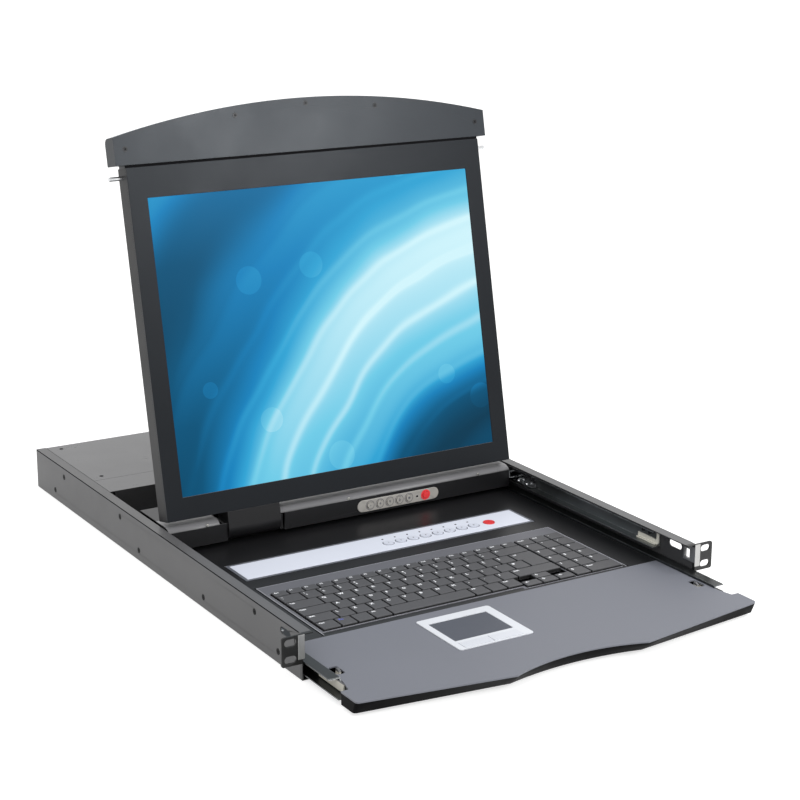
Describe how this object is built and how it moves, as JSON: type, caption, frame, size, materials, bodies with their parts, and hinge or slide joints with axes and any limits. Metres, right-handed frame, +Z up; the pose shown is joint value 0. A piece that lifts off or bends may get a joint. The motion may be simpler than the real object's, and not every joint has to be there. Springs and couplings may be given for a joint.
{
  "type": "rackmount lcd console drawer",
  "caption": "Rack drawer with a keyboard tray and a fold-down flat screen on ball bearing slides, shown pulled out with the screen raised.",
  "frame": {"origin": "under the chassis on its centre line, in the plane of the rack ears' front faces", "axes": "+X to the user's right, +Y to the rear of the rack, +Z up"},
  "size_m": [0.4826, 0.7483, 0.4539],
  "materials": {
    "chassis_grey": "fine powder coat, mid grey",
    "cover_grey": "fine powder coat, light grey",
    "deck_black": "semi-gloss black",
    "palm_blue_grey": "fine textured blue grey",
    "bezel_grey": "moulded, satin",
    "hinge_cover_grey": "fine powder coat",
    "slide_steel": "zinc plated",
    "ball_steel": "polished",
    "zinc_ivory": "yellow zinc plated",
    "strike_nickel": "bright nickel",
    "key_grey": "textured",
    "keyboard_black": "satin",
    "strip_white": "smooth film",
    "button_white": "smooth",
    "button_red": "smooth",
    "touchpad_silver": "satin silver",
    "pad_grey": "fine matte",
    "screen_black": "satin",
    "screen_shell_grey": "fine texture",
    "screen_glass": "anti-glare panel, lit",
    "handle_grey": "fine texture",
    "osd_plate_grey": "smooth",
    "lever_zinc": "zinc plated",
    "screw_zinc": "zinc plated",
    "pin_steel": "ground",
    "board_green": "laminate",
    "port_black": "moulded"
  },
  "bodies": {
    "chassis": {"chassis_tray": "chassis_grey", "rear_cover": "cover_grey", "rear_cover_strip": "cover_grey", "rear_panel": "chassis_grey", "switch_ports": "slide_steel", "power_inlet": "port_black", "switch_board": "board_green", "chassis_screws": "screw_zinc", "slide_stops": "zinc_ivory", "latch_strike_left": "strike_nickel", "latch_strike_right": "strike_nickel", "upper_slide_channel_left": "slide_steel", "upper_slide_channel_right": "slide_steel", "lower_slide_rail_left": "slide_steel", "lower_slide_rail_right": "slide_steel"},
    "upper_cages": {"upper_ball_cages": "ball_steel"},
    "lower_cages": {"lower_ball_cages": "ball_steel"},
    "keyboard_drawer": {"keyboard_tray": "deck_black", "deck_panel": "deck_black", "palm_rest": "palm_blue_grey", "front_bezel": "bezel_grey", "lower_slide_channel_left": "slide_steel", "lower_slide_channel_right": "slide_steel", "keyboard_base": "keyboard_black", "button_strip": "strip_white", "touchpad_frame": "touchpad_silver", "touchpad_surface": "pad_grey"},
    "carriage": {"screen_carriage": "hinge_cover_grey", "hinge_cover_left": "hinge_cover_grey", "hinge_cover_right": "hinge_cover_grey", "hinge_pins": "pin_steel", "osd_plate": "osd_plate_grey", "upper_slide_member_left": "slide_steel", "upper_slide_member_right": "slide_steel"},
    "screen": {"screen_bezel": "screen_black", "screen_rear_shell": "screen_shell_grey", "screen_panel": "screen_glass", "screen_hinge_boss": "screen_shell_grey", "top_handle": "handle_grey", "handle_screws": "screw_zinc"},
    "latch_pin_left": {"latch_pin_left": "pin_steel"},
    "latch_pin_right": {"latch_pin_right": "pin_steel"},
    "tray_release_left": {"tray_release_left": "lever_zinc"},
    "tray_release_right": {"tray_release_right": "lever_zinc"},
    "keys_function_row": {"keys_function_row": "key_grey"},
    "keys_number_row": {"keys_number_row": "key_grey"},
    "keys_upper_row": {"keys_upper_row": "key_grey"},
    "keys_home_row": {"keys_home_row": "key_grey"},
    "keys_lower_row": {"keys_lower_row": "key_grey"},
    "keys_bottom_row": {"keys_bottom_row": "key_grey"},
    "key_space": {"key_space": "key_grey"},
    "key_enter": {"key_enter": "key_grey"},
    "keys_arrows": {"keys_arrows": "key_grey"},
    "keys_number_pad": {"keys_number_pad": "key_grey"},
    "select_buttons": {"select_buttons": "button_white"},
    "reset_button": {"reset_button": "button_red"},
    "touchpad_button_left": {"touchpad_button_left": "pad_grey"},
    "touchpad_button_right": {"touchpad_button_right": "pad_grey"},
    "osd_buttons": {"osd_buttons": "button_white"},
    "osd_power_button": {"osd_power_button": "button_red"}
  },
  "joints": [
    {"name": "keyboard_slide", "type": "slide", "parent": "chassis", "child": "keyboard_drawer", "axis": [0, -1, 0], "range_m": [-0.0605, 0.3]},
    {"name": "screen_slide", "type": "slide", "parent": "chassis", "child": "carriage", "axis": [0, -1, 0], "range_m": [-0.0605, 0.345]},
    {"name": "lower_cage_slide", "type": "slide", "parent": "chassis", "child": "lower_cages", "axis": [0, -1, 0], "range_m": [-0.031, 0.151]},
    {"name": "upper_cage_slide", "type": "slide", "parent": "chassis", "child": "upper_cages", "axis": [0, -1, 0], "range_m": [-0.031, 0.174]},
    {"name": "screen_hinge", "type": "hinge", "parent": "carriage", "child": "screen", "pos_m": [0, 0.3123, 0.032], "axis": [-1, 0, 0], "range_deg": [-102, 5]},
    {"name": "latch_pin_left_slide", "type": "slide", "parent": "screen", "child": "latch_pin_left", "axis": [-1, 0, 0], "range_m": [-0.012, 0], "stiffness_N_per_m": 300, "springref_m": 0.002},
    {"name": "latch_pin_right_slide", "type": "slide", "parent": "screen", "child": "latch_pin_right", "axis": [1, 0, 0], "range_m": [-0.012, 0], "stiffness_N_per_m": 300, "springref_m": 0.002},
    {"name": "tray_release_left_slide", "type": "slide", "parent": "keyboard_drawer", "child": "tray_release_left", "axis": [0, 1, 0], "range_m": [0, 0.006], "stiffness_N_per_m": 500, "springref_m": -0.001},
    {"name": "tray_release_right_slide", "type": "slide", "parent": "keyboard_drawer", "child": "tray_release_right", "axis": [0, 1, 0], "range_m": [0, 0.006], "stiffness_N_per_m": 500, "springref_m": -0.001},
    {"name": "keys_function_row_press", "type": "slide", "parent": "keyboard_drawer", "child": "keys_function_row", "axis": [0, 0, -1], "range_m": [0, 0.0018], "stiffness_N_per_m": 600, "springref_m": -0.001},
    {"name": "keys_number_row_press", "type": "slide", "parent": "keyboard_drawer", "child": "keys_number_row", "axis": [0, 0, -1], "range_m": [0, 0.0018], "stiffness_N_per_m": 600, "springref_m": -0.001},
    {"name": "keys_upper_row_press", "type": "slide", "parent": "keyboard_drawer", "child": "keys_upper_row", "axis": [0, 0, -1], "range_m": [0, 0.0018], "stiffness_N_per_m": 600, "springref_m": -0.001},
    {"name": "keys_home_row_press", "type": "slide", "parent": "keyboard_drawer", "child": "keys_home_row", "axis": [0, 0, -1], "range_m": [0, 0.0018], "stiffness_N_per_m": 600, "springref_m": -0.001},
    {"name": "keys_lower_row_press", "type": "slide", "parent": "keyboard_drawer", "child": "keys_lower_row", "axis": [0, 0, -1], "range_m": [0, 0.0018], "stiffness_N_per_m": 600, "springref_m": -0.001},
    {"name": "keys_bottom_row_press", "type": "slide", "parent": "keyboard_drawer", "child": "keys_bottom_row", "axis": [0, 0, -1], "range_m": [0, 0.0018], "stiffness_N_per_m": 600, "springref_m": -0.001},
    {"name": "key_space_press", "type": "slide", "parent": "keyboard_drawer", "child": "key_space", "axis": [0, 0, -1], "range_m": [0, 0.0018], "stiffness_N_per_m": 600, "springref_m": -0.001},
    {"name": "key_enter_press", "type": "slide", "parent": "keyboard_drawer", "child": "key_enter", "axis": [0, 0, -1], "range_m": [0, 0.0018], "stiffness_N_per_m": 600, "springref_m": -0.001},
    {"name": "keys_arrows_press", "type": "slide", "parent": "keyboard_drawer", "child": "keys_arrows", "axis": [0, 0, -1], "range_m": [0, 0.0018], "stiffness_N_per_m": 600, "springref_m": -0.001},
    {"name": "keys_number_pad_press", "type": "slide", "parent": "keyboard_drawer", "child": "keys_number_pad", "axis": [0, 0, -1], "range_m": [0, 0.0018], "stiffness_N_per_m": 600, "springref_m": -0.001},
    {"name": "select_buttons_press", "type": "slide", "parent": "keyboard_drawer", "child": "select_buttons", "axis": [0, 0, -1], "range_m": [0, 0.0006], "stiffness_N_per_m": 600, "springref_m": -0.0005},
    {"name": "reset_button_press", "type": "slide", "parent": "keyboard_drawer", "child": "reset_button", "axis": [0, 0, -1], "range_m": [0, 0.0006], "stiffness_N_per_m": 600, "springref_m": -0.0005},
    {"name": "touchpad_button_left_press", "type": "slide", "parent": "keyboard_drawer", "child": "touchpad_button_left", "axis": [0, 0, -1], "range_m": [0, 0.0007], "stiffness_N_per_m": 600, "springref_m": -0.0005},
    {"name": "touchpad_button_right_press", "type": "slide", "parent": "keyboard_drawer", "child": "touchpad_button_right", "axis": [0, 0, -1], "range_m": [0, 0.0007], "stiffness_N_per_m": 600, "springref_m": -0.0005},
    {"name": "osd_buttons_press", "type": "slide", "parent": "carriage", "child": "osd_buttons", "axis": [0, 1, 0], "range_m": [0, 0.0008], "stiffness_N_per_m": 500, "springref_m": -0.0005},
    {"name": "osd_power_button_press", "type": "slide", "parent": "carriage", "child": "osd_power_button", "axis": [0, 1, 0], "range_m": [0, 0.0008], "stiffness_N_per_m": 500, "springref_m": -0.0005}
  ],
  "couplings": [
    {"joint": "lower_cage_slide", "follows": "keyboard_slide", "ratio": 0.5},
    {"joint": "upper_cage_slide", "follows": "screen_slide", "ratio": 0.5}
  ]
}
